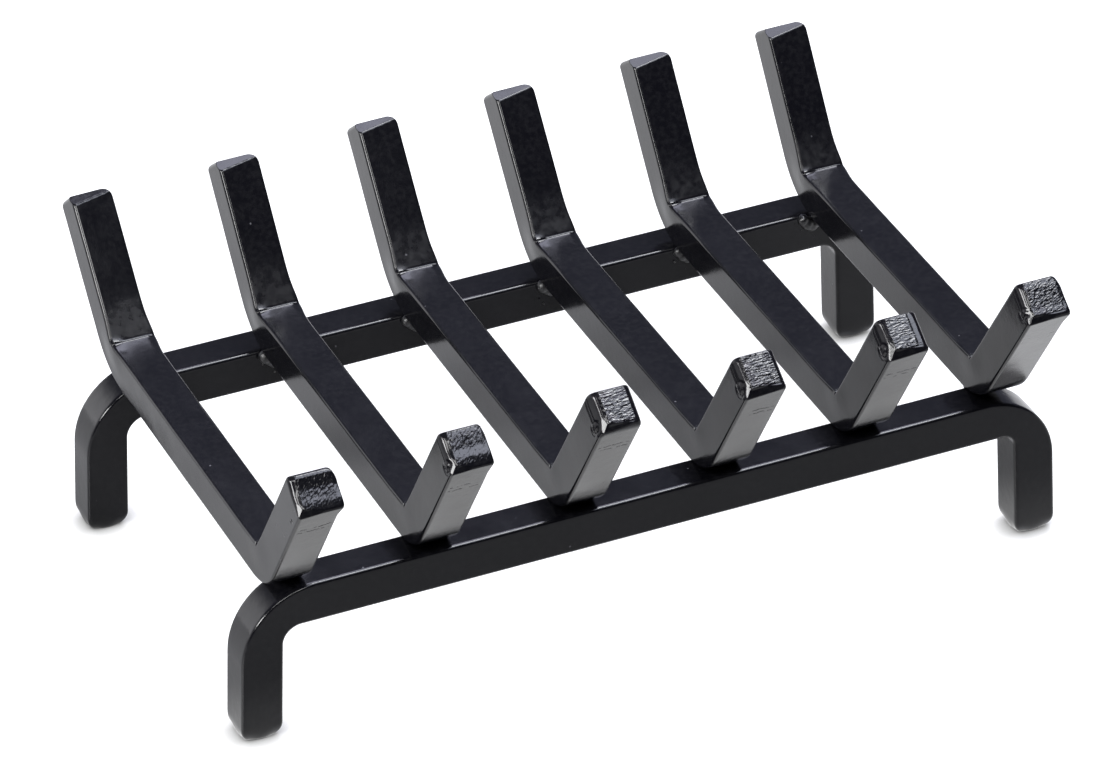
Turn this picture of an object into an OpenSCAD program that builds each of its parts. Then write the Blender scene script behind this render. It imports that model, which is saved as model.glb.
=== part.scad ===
// Log grate for a fireplace or wood stove, welded from square steel bar.
// Two rails with turned-down legs carry six bars whose ends are bent up to hold the logs.
// Millimetres, +Z up, floor at z = 0, rails along X, front towards -Y.
// The origin is on the floor, below the middle of the whole grate.

/* [Bar stock] */
// Side of the square bar that every piece is cut from
bar_side = 20; // [16:0.5:22]
// Radius of the bar's four long edges
edge_round = 1.5; // [0.6:0.1:2]
// Radius that the shears leave around each cut end
end_round = 3.5; // [1.5:0.1:4.5]
// Depth by which bending draws in each face of the legs and arms
draw_down = 0.06; // [0.04:0.01:0.1]

/* [Rails and legs] */
// Width of a rail across the outsides of its two bends
rail_length = 406.4; // [360:0.2:440]
// Height of the rails' upper faces above the floor
rail_top = 76.8; // [66:0.1:90]
// Distance from the front rail's front face to the rear rail's front face
rail_spacing = 193; // [170:1:220]
// Inside radius of the bends that turn a rail's ends down into legs
rail_bend_inside = 17; // [12:0.5:18]
// Outward lean of the left legs, in degrees
left_leg_lean = 3; // [0:0.5:5]
// Outward lean of the right legs, in degrees
right_leg_lean = 0.5; // [0:0.5:5]

/* [Grate bars] */
// Distance from the outsides of the rails' bends in to the end bars' outer faces
end_bar_inset = 16.4; // [15:0.2:30]
// Distance of the front crease behind the front rail's front face
front_bend_set = 12.5; // [10:0.5:14]
// Distance of the rear crease behind the rear rail's front face
rear_bend_set = 3.8; // [3.5:0.1:8]
// Lean of the front arms, in degrees above the level
front_arm_lean = 55; // [45:0.5:62]
// Lean of the rear arms, in degrees above the level
rear_arm_lean = 54; // [50:0.5:60]
// Length of the front arms, from crease to tip
front_arm_length = 80; // [60:0.5:100]
// Length of the rear arms, from crease to tip
rear_arm_length = 73.5; // [60:0.5:100]
// Outside radius of the bends that turn the arms up
arm_bend_outside = 33; // [29:0.5:35]

/* [Bend cheeks] */
// Height of the bulge that bending presses out of each side of the bar
cheek_height = 1.1; // [0.5:0.1:1.6]
// Radius of the bulge's domed surface
cheek_dome = 30; // [20:1:40]
// Distance from the crease to the middle of the bulge
cheek_depth = 4; // [2:0.5:6]

/* [Welds] */
// Leg of the weld bead in the corner between rail and bar
weld_leg = 6; // [4:0.1:7]
// Number of ripples along a bead
weld_ripples = 4; // [3:1:6]
// Distance from one ripple to the next
weld_step = 3.6; // [2.5:0.1:4.5]

/* [Hidden] */
$fn = 96;
steel_black = "#24252b";

// How the hand-bent bars depart from an even layout, from left to right:
// sideways place in millimetres and turn seen from above in degrees,
bar_shift = [-0.7, 0.1, 1.3, 1.5, 1.2, -0.6];
bar_turn = [0.7, 0.7, 0.8, 0.1, 0.2, 0.4];
// lengths of the two arms and place of the rear crease in millimetres,
front_arm_extra = [-1.5, 1, 3, -3.5, -2.5, 1.5];
rear_arm_extra = [0, 0.5, 0.5, 1, -1, -1.5];
rear_bend_shift = [1.4, -1.7, 1.1, -1.1, 1.1, -1];
// and lean of the rear arm in degrees
rear_lean_extra = [-3.5, 0, -1.5, -1, 1.5, 3];

bar_count = len(bar_shift);
bar_numbers = [1:bar_count];
half_side = bar_side / 2;
bar_top = rail_top + bar_side;
// Reach of a helper block past the shape that it trims
spare = 6;
// Length over which a leg or an arm runs into its bend
run_in = 0.8;
// How far the middle of a bead may lie past the straight part of a rail
weld_overrun = 7;

rail_bend_outside = rail_bend_inside + bar_side;
rail_bend_middle = rail_bend_inside + half_side;
rail_bend_z = rail_top - rail_bend_outside;
straight_half = rail_length / 2 - rail_bend_outside;
end_bar_x = rail_length / 2 - end_bar_inset - half_side;
bar_pitch = 2 * end_bar_x / (bar_count - 1);

function front_arm(i) = front_arm_length + front_arm_extra[i - 1];
function rear_arm(i) = rear_arm_length + rear_arm_extra[i - 1];
function rear_lean(i) = rear_arm_lean + rear_lean_extra[i - 1];
function rear_crease(i) = rail_spacing + rear_bend_set + rear_bend_shift[i - 1];
function bar_x(i) = -end_bar_x + (i - 1) * bar_pitch + bar_shift[i - 1];

// Place across the grate of bar i where it crosses the line at distance y behind the front face
function bar_x_at(i, y) = bar_x(i) + (y - rail_spacing / 2) * tan(bar_turn[i - 1]);

// The same for the middle of its weld, which stays by the straight part of the rail
function weld_x(i, y) =
    sign(bar_x_at(i, y)) * min(abs(bar_x_at(i, y)), straight_half + weld_overrun);

// Distance from a crease at which the bar's outer surface begins to curve, to 0.01 mm
function bend_start(lean) = round(100 * (arm_bend_outside - bar_side) * tan(lean / 2)) / 100;

// Level distance from a crease to the farthest point of its arm's rounded tip
function tip_reach(lean, arm) =
    (arm - end_round) * cos(lean) + (bar_side - end_round) * sin(lean) + end_round;

// Place of a leaning leg's middle line beside its bend's centre, at height z above the floor
function leg_x(lean, z) =
    rail_bend_middle * cos(lean) + (rail_bend_z + rail_bend_middle * sin(lean) - z) * tan(lean);

front_reach = max([for (i = bar_numbers) tip_reach(front_arm_lean, front_arm(i))]);
back_reach = max([for (i = bar_numbers) rear_crease(i) + tip_reach(rear_lean(i), rear_arm(i))]);
middle_x = (leg_x(right_leg_lean, end_round) - leg_x(left_leg_lean, end_round)) / 2;
middle_y = (front_bend_set - front_reach + back_reach) / 2;

// Cross-section of the bar with its faces drawn in by inset, the four corners rounded
module bar_section(inset = 0) {
    flat = bar_side - 2 * edge_round - 2 * inset;
    square([flat + 2 * edge_round, flat], center = true);
    square([flat, flat + 2 * edge_round], center = true);
    for (x = [-1, 1], y = [-1, 1])
        translate([x, y] * flat / 2)
            circle(edge_round);
}

// Strip from y = -inset down to -depth, its faces drawn in by inset and both upper corners rounded
module strip_section(depth, inset = 0) {
    flat = half_side - edge_round - inset;
    translate([-flat - edge_round, -depth])
        square([2 * (flat + edge_round), depth - edge_round - inset]);
    translate([-flat, -depth])
        square([2 * flat, depth - inset]);
    for (x = [-1, 1])
        translate([x * flat, -edge_round - inset])
            circle(edge_round);
}

// Outline of a sheared end above its cut at y = 0, both corners rounded off
module end_outline() {
    intersection() {
        union() {
            translate([-half_side + end_round, 0])
                square([bar_side - 2 * end_round, end_round]);
            for (x = [-1, 1])
                translate([x * (half_side - end_round), end_round])
                    circle(end_round);
        }
        translate([-half_side, 0])
            square([bar_side, end_round]);
    }
}

// Keeps a bar standing on z = 0 whole, but for the four edges of its end, which it rounds
module end_mould(length) {
    translate([-half_side - spare, -half_side - spare, end_round])
        cube([bar_side + 2 * spare, bar_side + 2 * spare, length]);
    intersection() {
        rotate([90, 0, 0])
            linear_extrude(bar_side, center = true)
                end_outline();
        rotate([90, 0, 90])
            linear_extrude(bar_side, center = true)
                end_outline();
    }
}

// Bend and leg at a rail's right end, in the frame of the bend's centre
module rail_end(lean) {
    rotate([-90, 0, 0])
        rotate(-90)
            rotate_extrude(angle = 90 - lean)
                translate([rail_bend_middle, 0])
                    bar_section();
    intersection() {
        translate([cos(lean), 0, sin(lean)] * rail_bend_middle)
            rotate([0, 180 - lean, 0])
                translate([0, 0, -run_in])
                    linear_extrude(rail_top)
                        bar_section(draw_down);
        translate([leg_x(lean, end_round), 0, -rail_bend_z])
            end_mould(rail_top);
    }
}

// Whole rail, its front face at y = 0
module rail() {
    translate([0, half_side, 0]) {
        translate([0, 0, rail_top - half_side])
            rotate([90, 0, 90])
                linear_extrude(2 * straight_half, center = true)
                    bar_section();
        translate([straight_half, 0, rail_bend_z])
            rail_end(right_leg_lean);
        translate([-straight_half, 0, rail_bend_z])
            mirror([1, 0, 0])
                rail_end(left_leg_lean);
    }
}

// The frame of a bend: its crease is the origin, the level run goes off along +Y below z = 0,
// and the arm rises towards -Y, drawn in by the bending. This turns a child that lies along -Y
// below z = 0 so that it lies along the arm.
module along_arm(lean) {
    rotate([-lean, 0, 0])
        children();
}

// Prism of a strip below z = 0, on both sides of the crease
module strip(inset) {
    rotate([90, 0, 0])
        linear_extrude(4 * arm_bend_outside, center = true)
            strip_section(arm_bend_outside, inset);
}

// Bend between the level run and the arm: a sharp crease inside, a broad round outside
module arm_bend(lean) {
    intersection() {
        union() {
            strip(0);
            along_arm(lean)
                strip(draw_down);
        }
        translate([0, bend_start(lean), arm_bend_outside - bar_side])
            rotate([0, 90, 180])
                rotate_extrude(angle = lean)
                    rotate(-90)
                        translate([0, arm_bend_outside])
                            strip_section(arm_bend_outside - edge_round);
    }
    for (side = [0, 1])
        mirror([side, 0, 0])
            cheek(lean);
}

// Block beside the bar, below z = 0, that a cheek may fill
module cheek_room(inset) {
    translate([half_side - edge_round - inset, -arm_bend_outside, -arm_bend_outside - inset])
        cube([spare, 2 * arm_bend_outside, arm_bend_outside]);
}

// Low dome that the bend presses out of one side of the bar, cut off along the inner faces
module cheek(lean) {
    intersection() {
        union() {
            cheek_room(0);
            along_arm(lean)
                cheek_room(draw_down);
        }
        translate([
            half_side + cheek_height - cheek_dome,
            -cheek_depth * sin(lean / 2),
            -cheek_depth * cos(lean / 2)
        ])
            sphere(cheek_dome);
    }
}

// Arm from its bend to its sheared tip, lying along -Y below z = 0
module arm_run(lean, arm) {
    start = bend_start(lean) - run_in;
    translate([0, 0, -half_side])
        rotate([90, 0, 0])
            intersection() {
                translate([0, 0, start])
                    linear_extrude(arm - start)
                        bar_section(draw_down);
                translate([0, 0, arm])
                    mirror([0, 0, 1])
                        end_mould(arm);
            }
}

// Bend with its arm, in the bend's frame
module bent_arm(lean, arm) {
    arm_bend(lean);
    along_arm(lean)
        arm_run(lean, arm);
}

// One bead with its ripples, in the corner below z = 0 and before y = 0
module weld_bead() {
    intersection() {
        for (k = [0:weld_ripples - 1])
            translate([(k - (weld_ripples - 1) / 2) * weld_step, 0, 0])
                sphere(weld_leg);
        translate([-rail_length / 2, -weld_leg, -weld_leg])
            cube([rail_length, weld_leg, weld_leg]);
    }
}

// Moves the front rail's frame so that the whole grate is centred on the origin
module in_place() {
    color(steel_black)
        translate([-middle_x, -middle_y, 0])
            children();
}

module front_rail() {
    in_place()
        rail();
}

module rear_rail() {
    in_place()
        translate([0, rail_spacing, 0])
            rail();
}

module grate_bar(i) {
    front_run = front_bend_set + bend_start(front_arm_lean);
    rear_run = rear_crease(i) - bend_start(rear_lean(i));
    in_place()
        translate([bar_x(i), rail_spacing / 2, bar_top])
            rotate(-bar_turn[i - 1])
                translate([0, -rail_spacing / 2, 0]) {
                    translate([0, front_run, -half_side])
                        rotate([-90, 0, 0])
                            linear_extrude(rear_run - front_run)
                                bar_section();
                    translate([0, front_bend_set, 0])
                        bent_arm(front_arm_lean, front_arm(i));
                    translate([0, rear_crease(i), 0])
                        mirror([0, 1, 0])
                            bent_arm(rear_lean(i), rear_arm(i));
                }
}

module front_weld(i) {
    in_place()
        translate([weld_x(i, bar_side), bar_side, rail_top])
            mirror([0, 1, 0])
                weld_bead();
}

module rear_weld(i) {
    in_place()
        translate([weld_x(i, rail_spacing), rail_spacing, rail_top])
            weld_bead();
}

front_rail();
rear_rail();
for (i = bar_numbers) {
    grate_bar(i);
    front_weld(i);
    rear_weld(i);
}
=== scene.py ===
import bmesh
import bpy
import math
import numpy as np
from collections import namedtuple
from mathutils import Matrix, Vector


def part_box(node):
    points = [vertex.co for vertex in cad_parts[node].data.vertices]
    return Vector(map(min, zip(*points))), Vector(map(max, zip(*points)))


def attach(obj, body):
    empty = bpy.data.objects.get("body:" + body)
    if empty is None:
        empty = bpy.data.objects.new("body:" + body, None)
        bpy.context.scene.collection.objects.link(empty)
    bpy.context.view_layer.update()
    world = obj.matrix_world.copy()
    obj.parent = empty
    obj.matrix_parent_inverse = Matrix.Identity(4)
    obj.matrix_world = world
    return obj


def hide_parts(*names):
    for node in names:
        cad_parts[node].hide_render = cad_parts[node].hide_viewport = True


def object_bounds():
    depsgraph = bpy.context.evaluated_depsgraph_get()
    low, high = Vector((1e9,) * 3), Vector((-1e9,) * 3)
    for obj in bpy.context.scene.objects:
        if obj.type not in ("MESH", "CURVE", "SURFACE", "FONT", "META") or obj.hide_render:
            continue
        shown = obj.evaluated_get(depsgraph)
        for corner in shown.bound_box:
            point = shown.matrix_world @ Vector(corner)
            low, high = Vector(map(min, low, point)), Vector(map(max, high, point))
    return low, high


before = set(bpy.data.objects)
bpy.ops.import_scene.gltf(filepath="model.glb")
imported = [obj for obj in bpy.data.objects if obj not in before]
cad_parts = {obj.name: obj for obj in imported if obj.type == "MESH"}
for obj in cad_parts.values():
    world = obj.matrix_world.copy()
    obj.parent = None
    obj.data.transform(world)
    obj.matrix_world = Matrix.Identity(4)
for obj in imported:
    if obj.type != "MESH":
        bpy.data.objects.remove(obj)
cad_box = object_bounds()


# Camera
# It looks down on the grate from the front left with a long lens, as the photographer's did.
# Its place and its angles come from the outlines of the rails and bars.
photo_width, photo_height = 1111, 776
camera_place = Vector((-1.22942, -2.96008, 2.09379))
camera_azimuth = math.radians(22.538)
camera_drop = math.radians(32.212)
camera_roll = math.radians(2.016)
focal_pixels = 8159.5
centre_pixel = (558.0, 389.3)
film_width = 36

forward = Vector((math.sin(camera_azimuth) * math.cos(camera_drop),
                  math.cos(camera_azimuth) * math.cos(camera_drop), -math.sin(camera_drop)))
level_right = Vector((math.cos(camera_azimuth), -math.sin(camera_azimuth), 0))
plain_down = forward.cross(level_right)
right = math.cos(camera_roll) * level_right + math.sin(camera_roll) * plain_down
down = -math.sin(camera_roll) * level_right + math.cos(camera_roll) * plain_down

camera_data = bpy.data.cameras.new("camera")
camera_data.sensor_width = film_width
camera_data.lens = focal_pixels * film_width / photo_width
camera_data.shift_x = (photo_width / 2 - centre_pixel[0]) / photo_width
camera_data.shift_y = (centre_pixel[1] - photo_height / 2) / photo_width
camera_data.clip_end = 30
camera = bpy.data.objects.new("camera", camera_data)
bpy.context.scene.collection.objects.link(camera)
camera.matrix_world = Matrix((
    (right.x, -down.x, -forward.x, camera_place.x),
    (right.y, -down.y, -forward.y, camera_place.y),
    (right.z, -down.z, -forward.z, camera_place.z),
    (0, 0, 0, 1)))
bpy.context.scene.camera = camera


# Floor, surroundings and light
# A smooth white floor in a dim room, glowing though it is no lamp. For the rays that the paint
# mirrors, its glow holds painted light: a brighter band along the front rail and a rise to the
# back right. Where the camera sees it, it has a painted contact shadow round the feet. Soft lamps
# hang above, behind, at the left and at the front left, and the black paint mirrors them all.
floor_half = 3.0
floor_roughness = 0.3
# White and glow that the paint mirrors, and those that the camera sees
floor_white = (0.2, 0.2, 0.2, 1)
floor_glow = 0.23
floor_white_seen = (0.27, 0.27, 0.27, 1)
floor_glow_seen = 0.8
# The painted band of light: its added glow, its middle and its reach in y
painted_light_band = 0.90
painted_light_band_middle = -0.10
painted_light_band_reach = 0.055
# The painted rise of light: its added glow, and the values of x + y between which it grows
painted_light_rise = 0.56
painted_light_rise_run = (0.04, 0.42)
# Distance within which a foot darkens the floor that the camera sees with painted contact shadow
painted_contact_shadow_reach = 0.010
# The room goes over from dark to its back at these values of a direction's y, and has a bright
# wall at the back left between these values of its x and below these of its z
room_white = (1.0, 1.0, 1.0, 1)
room_dark = (0.020, 0.021, 0.024, 1)
room_back = (0.23, 0.24, 0.32, 1)
room_turn = (-0.1, 0.7)
room_wall = (2.8, 2.8, 2.9, 1)
room_wall_side = (-0.12, -0.45)
room_wall_top = (0.52, 0.30)


def add(tree, kind, links=None, **values):
    """One node; links gives its inputs' sources or plain values, values its own settings."""
    node = tree.nodes.new(kind)
    for name, value in values.items():
        setattr(node, name, value)
    for name, value in (links or {}).items():
        socket = node.inputs[name]
        if isinstance(value, bpy.types.NodeSocket):
            tree.links.new(value, socket)
        else:
            socket.default_value = value
    return node


def maths(tree, operation, a, b=None, c=None):
    """One sum of up to three sources or plain values, as a socket."""
    inputs = {k: v for k, v in enumerate((a, b, c)) if v is not None}
    return add(tree, "ShaderNodeMath", inputs, operation=operation).outputs[0]


floor_mesh = bpy.data.meshes.new("floor")
floor_mesh.from_pydata(
    [(x * floor_half, y * floor_half, 0) for x, y in ((-1, -1), (1, -1), (1, 1), (-1, 1))],
    [], [(0, 1, 2, 3)])
floor = bpy.data.objects.new("floor", floor_mesh)
bpy.context.scene.collection.objects.link(floor)
floor_paint = bpy.data.materials.new("floor_white")
floor_paint.use_nodes = True
tree = floor_paint.node_tree
shader = tree.nodes["Principled BSDF"]
shader.inputs["Roughness"].default_value = floor_roughness
shader.inputs["Emission Color"].default_value = (1, 1, 1, 1)
spot = tree.nodes.new("ShaderNodeTexCoord").outputs["Object"]
spot = add(tree, "ShaderNodeSeparateXYZ", {"Vector": spot}).outputs
# Painted light: a band of glow along the front rail and a rise of it to the back right
away = maths(tree, "ABSOLUTE", maths(tree, "SUBTRACT", spot["Y"], painted_light_band_middle))
band = add(tree, "ShaderNodeMapRange", {
    "Value": away, "From Min": 0.0, "From Max": painted_light_band_reach,
    "To Min": floor_glow + painted_light_band, "To Max": floor_glow}, interpolation_type="SMOOTHSTEP")
rise = add(tree, "ShaderNodeMapRange", {
    "Value": maths(tree, "ADD", spot["X"], spot["Y"]), "From Min": painted_light_rise_run[0],
    "From Max": painted_light_rise_run[1], "To Min": 0.0, "To Max": painted_light_rise})
eye = tree.nodes.new("ShaderNodeLightPath").outputs["Is Camera Ray"]
painted_glow = maths(tree, "ADD", band.outputs[0], rise.outputs[0])
# Painted contact shadow: ambient occlusion darkens the floor that the camera sees round the feet
close = add(tree, "ShaderNodeAmbientOcclusion", {"Distance": painted_contact_shadow_reach}).outputs["AO"]
open_white = add(tree, "ShaderNodeMix", {
    "Factor": close, "A": (0, 0, 0, 1), "B": floor_white_seen}, data_type="RGBA")
white = add(tree, "ShaderNodeMix", {
    "Factor": eye, "A": floor_white, "B": open_white.outputs["Result"]}, data_type="RGBA")
tree.links.new(white.outputs["Result"], shader.inputs["Base Color"])
shown = add(tree, "ShaderNodeMix", {
    "Factor": eye, "A": painted_glow, "B": maths(tree, "MULTIPLY", close, floor_glow_seen)})
tree.links.new(shown.outputs["Result"], shader.inputs["Emission Strength"])
floor_mesh.materials.append(floor_paint)

world = bpy.data.worlds.new("room")
bpy.context.scene.world = world
world.use_nodes = True
tree = world.node_tree
tree.nodes.clear()
way = tree.nodes.new("ShaderNodeTexCoord").outputs["Generated"]
way = add(tree, "ShaderNodeSeparateXYZ", {"Vector": way}).outputs
back = add(tree, "ShaderNodeMapRange", {
    "Value": way["Y"], "From Min": room_turn[0], "From Max": room_turn[1]}).outputs[0]
shade = add(tree, "ShaderNodeMix", {"Factor": back, "A": room_dark, "B": room_back},
            data_type="RGBA").outputs["Result"]
side = add(tree, "ShaderNodeMapRange", {
    "Value": way["X"], "From Min": room_wall_side[0], "From Max": room_wall_side[1]}).outputs[0]
low = add(tree, "ShaderNodeMapRange", {
    "Value": way["Z"], "From Min": room_wall_top[0], "From Max": room_wall_top[1]}).outputs[0]
wall = maths(tree, "MULTIPLY", maths(tree, "MULTIPLY", side, low), back)
shade = add(tree, "ShaderNodeMix", {"Factor": wall, "A": shade, "B": room_wall},
            data_type="RGBA").outputs["Result"]
eye = tree.nodes.new("ShaderNodeLightPath").outputs["Is Camera Ray"]
seen = add(tree, "ShaderNodeMix", {"Factor": eye, "A": shade, "B": room_white}, data_type="RGBA")
background = add(tree, "ShaderNodeBackground", {"Color": seen.outputs["Result"]})
add(tree, "ShaderNodeOutputWorld", {"Surface": background.outputs[0]})


def soft_lamp(name, place, aim, width, depth, power, tint=(1, 1, 1)):
    """A soft box that shines on the point that it is aimed at and isn't seen itself."""
    data = bpy.data.lights.new(name, "AREA")
    data.shape = "RECTANGLE"
    data.size, data.size_y = width, depth
    data.energy = power
    data.color = tint
    lamp = bpy.data.objects.new(name, data)
    bpy.context.scene.collection.objects.link(lamp)
    lamp.location = place
    lamp.rotation_euler = (Vector(aim) - Vector(place)).to_track_quat("-Z", "Y").to_euler()
    lamp.visible_camera = False


soft_lamp("overhead_lamp", (0.62, -0.56, 1.9), (0.62, -0.56, 0), 1.2, 0.85, 36, (0.82, 0.86, 1.0))
soft_lamp("crease_lamp", (0.64, 0.19, 1.9), (0.64, 0.19, 0), 0.9, 0.56, 64, (0.95, 0.96, 1.0))
soft_lamp("back_lamp", (0.63, 1.40, 2.05), (0, 0.09, 0.1), 1.3, 0.75, 27, (0.82, 0.83, 1.0))
soft_lamp("left_lamp", (-2.3, -0.62, 1.25), (0, 0, 0.1), 1.3, 0.6, 105)
soft_lamp("corner_lamp", (-0.75, -1.15, 1.8), (0, 0, 0.1), 1.9, 0.32, 50)

view = bpy.context.scene.view_settings
view.view_transform = "Standard"
view.look = "None"


# Rails
# Two lengths of 20 mm square steel bar, bent down on a round former at both ends into legs,
# sheared flat at the feet and sprayed gloss black with the rest of the grate.
mm = 0.001
bar_side = 20 * mm
half = bar_side / 2
half_mm = half / mm
# Radius of a rail's rolled edges in millimetres, the points along a side of its section, and how
# closely they crowd towards the edges
rail_edge = 1.6
rail_ring_side = 20
rim_crowding = 0.35
# Rounds of a rail's middle line where its ends bend down
rail_round = {"left": 28.0 * mm, "right": 25.5 * mm}
rail_bend_steps = 40
# The slight waviness of the rolled faces: the scale of its noise and the noise's own middle
rail_wave_scale = 45
rail_wave_middle = 0.55
# A foot is drawn in by its inset over the height of its round. Its upright edges are blunted too,
# over a height of their own and by a share of their distance from the leg's middle.
foot_round = 9.0 * mm
foot_inset = 3.2 * mm
foot_blunt = 7.0 * mm
foot_corner = 0.17
# The paint's black, and its film of dry spray with the scale and the range of the film's noise
paint_black = (0.0018, 0.0018, 0.0026, 1)
paint_film = (0.0038, 0.0038, 0.0046, 1)
film_scale = 420
film_range = (0.42, 0.68)
# Its mist, which makes the roughness uneven: scale and range of its noise, and its least and most
mist_scale = 60
mist_range = (0.3, 0.7)
mist_share = (0.8, 1.3)
# Dust and pits: scale of their cells, share of the cells that have one, and where it fades out
dust_spots = (170, 0.05, (0.04, 0.11))
pit_spots = (300, 0.08, (0.0, 0.2))
paint_dust = (0.045, 0.045, 0.050, 1)
dust_roughness = 0.3
# Its orange peel and a finer grain on it, and how high grain, pits and dust stand beside the peel
peel_scale = 260
grain_scale = 900
grain_height = 0.12
pit_height = -0.9
dust_height = 0.7
# What dry spray adds to the roughness, and the blotches in it: scale and range of their noise,
# and their least and most
haze_roughness = 0.22
blotch_scale = 260
blotch_range = (0.35, 0.65)
blotch_share = (0.4, 1.3)
# The tears' noise, on places in millimetres
tear_noise = {"Scale": 0.9, "Detail": 1.2, "Roughness": 0.4, "Distortion": 0.4}
# The pair of scratches in millimetres: how far they wander, their lines, where a groove ends at
# its sides and its depth, then the scales of the wandering and of the gaps, and a gap's range
scratch_wander = 4.0
scratch_lines = (2.0, 5.4)
scratch_width = (0.1, 0.4)
scratch_depth = 0.12 * mm
scratch_wander_scale = 0.22
scratch_gap_scale = 0.45
scratch_gap_range = (0.46, 0.54)
rail_places = {
    # middle y, turn seen from above, and for the left and the right end where the foot stands,
    # its lean and the round inside the bend
    "front_rail": (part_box("front_rail")[0].y + half, 0.0, (-194.45, 194.25), (3.2, 0.8), (9, 6)),
    "rear_rail": (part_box("rear_rail")[0].y + half, -0.353, (-194.45, 193.1), (3.0, 0.3), (10, 8)),
}


def black_paint(name, roughness=0.15, peel=0.02, gloss_ior=1.3, marked=False, torn=False):
    """Gloss black spray paint over rolled bar: orange peel, pits, dust and a little unevenness.

    Marked paint also reads a mesh's "haze" and "scratch" values, torn paint its "cut" values.
    """
    paint = bpy.data.materials.new(name)
    paint.use_nodes = True
    tree = paint.node_tree
    shader = tree.nodes["Principled BSDF"]
    shader.inputs["IOR"].default_value = gloss_ior
    place = tree.nodes.new("ShaderNodeTexCoord").outputs["Object"]
    mist = add(tree, "ShaderNodeTexNoise", {"Vector": place, "Scale": mist_scale, "Detail": 3})
    fine = add(tree, "ShaderNodeTexNoise", {"Vector": place, "Scale": grain_scale, "Detail": 2})
    skin = add(tree, "ShaderNodeTexNoise", {"Vector": place, "Scale": peel_scale, "Detail": 2})

    def spots(scale, share, size):
        """Round spots in a share of the cells of that scale, fading out between two distances."""
        cells = add(tree, "ShaderNodeTexVoronoi", {"Vector": place, "Scale": scale})
        draw = add(tree, "ShaderNodeSeparateColor", {"Color": cells.outputs["Color"]})
        drawn = maths(tree, "LESS_THAN", draw.outputs["Red"], share)
        close = add(tree, "ShaderNodeMapRange", {
            "Value": cells.outputs["Distance"], "From Min": size[0], "From Max": size[1],
            "To Min": 1.0, "To Max": 0.0})
        return maths(tree, "MULTIPLY", drawn, close.outputs[0])

    dust = spots(*dust_spots)
    pits = spots(*pit_spots)
    film = add(tree, "ShaderNodeTexNoise", {"Vector": place, "Scale": film_scale, "Detail": 4})
    film = add(tree, "ShaderNodeMapRange", {
        "Value": film.outputs["Fac"], "From Min": film_range[0],
        "From Max": film_range[1]}).outputs[0]
    paint_colour = add(tree, "ShaderNodeMix", {
        "Factor": film, "A": paint_black, "B": paint_film}, data_type="RGBA")
    colour = add(tree, "ShaderNodeMix", {
        "Factor": dust, "A": paint_colour.outputs["Result"], "B": paint_dust}, data_type="RGBA")
    tree.links.new(colour.outputs["Result"], shader.inputs["Base Color"])
    rough = add(tree, "ShaderNodeMapRange", {
        "Value": mist.outputs["Fac"], "From Min": mist_range[0], "From Max": mist_range[1],
        "To Min": roughness * mist_share[0], "To Max": roughness * mist_share[1]}).outputs[0]
    rough = maths(tree, "MULTIPLY_ADD", dust, dust_roughness, rough)
    if marked:
        haze = add(tree, "ShaderNodeAttribute", attribute_name="haze").outputs["Fac"]
        blotch = add(tree, "ShaderNodeTexNoise", {
            "Vector": place, "Scale": blotch_scale, "Detail": 4})
        patchy = add(tree, "ShaderNodeMapRange", {
            "Value": blotch.outputs["Fac"], "From Min": blotch_range[0],
            "From Max": blotch_range[1], "To Min": blotch_share[0],
            "To Max": blotch_share[1]}).outputs[0]
        haze = maths(tree, "MULTIPLY", haze, patchy)
        rough = maths(tree, "MULTIPLY_ADD", haze, haze_roughness, rough)
    tree.links.new(rough, shader.inputs["Roughness"])
    height = maths(tree, "MULTIPLY_ADD", fine.outputs["Fac"], grain_height, skin.outputs["Fac"])
    height = maths(tree, "MULTIPLY_ADD", pits, pit_height, height)
    height = maths(tree, "MULTIPLY_ADD", dust, dust_height, height)
    last = add(tree, "ShaderNodeBump", {"Height": height, "Distance": peel * mm, "Strength": 1})
    if torn:
        cut = add(tree, "ShaderNodeAttribute", attribute_name="cut").outputs["Fac"]
        lines = add(tree, "ShaderNodeAttribute", attribute_name="cut_place").outputs["Vector"]
        tear = add(tree, "ShaderNodeTexNoise", {"Vector": lines, **tear_noise})
        last = add(tree, "ShaderNodeBump", {
            "Height": maths(tree, "MULTIPLY", tear.outputs["Fac"], cut), "Distance": mm,
            "Strength": 1, "Normal": last.outputs["Normal"]})
    if marked:
        mark = add(tree, "ShaderNodeAttribute", attribute_name="scratch").outputs["Vector"]
        wander = add(tree, "ShaderNodeTexNoise", {
            "Vector": mark, "Scale": scratch_wander_scale, "Detail": 3})
        parts = add(tree, "ShaderNodeSeparateXYZ", {"Vector": mark})
        across = maths(tree, "MULTIPLY_ADD", wander.outputs["Fac"], scratch_wander,
                       parts.outputs["Y"])
        first, second = (maths(tree, "ABSOLUTE", maths(tree, "SUBTRACT", across, place))
                         for place in scratch_lines)
        groove = add(tree, "ShaderNodeMapRange", {
            "Value": maths(tree, "MINIMUM", first, second), "From Min": scratch_width[0],
            "From Max": scratch_width[1], "To Min": -1.0, "To Max": 0.0})
        broken = add(tree, "ShaderNodeTexNoise", {
            "Vector": mark, "Scale": scratch_gap_scale, "Detail": 1})
        gap = add(tree, "ShaderNodeMapRange", {
            "Value": broken.outputs["Fac"], "From Min": scratch_gap_range[0],
            "From Max": scratch_gap_range[1]})
        worn = maths(tree, "MULTIPLY", maths(tree, "MULTIPLY", groove.outputs[0], gap.outputs[0]),
                     parts.outputs["Z"])
        last = add(tree, "ShaderNodeBump", {
            "Height": worn, "Distance": scratch_depth, "Strength": 1,
            "Normal": last.outputs["Normal"]})
    tree.links.new(last.outputs["Normal"], shader.inputs["Normal"])
    return paint


def crowded(line):
    """Draws points of a line from -1 to 1 closer together towards its ends."""
    return line + rim_crowding * np.sin(np.pi * line) / np.pi


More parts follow.
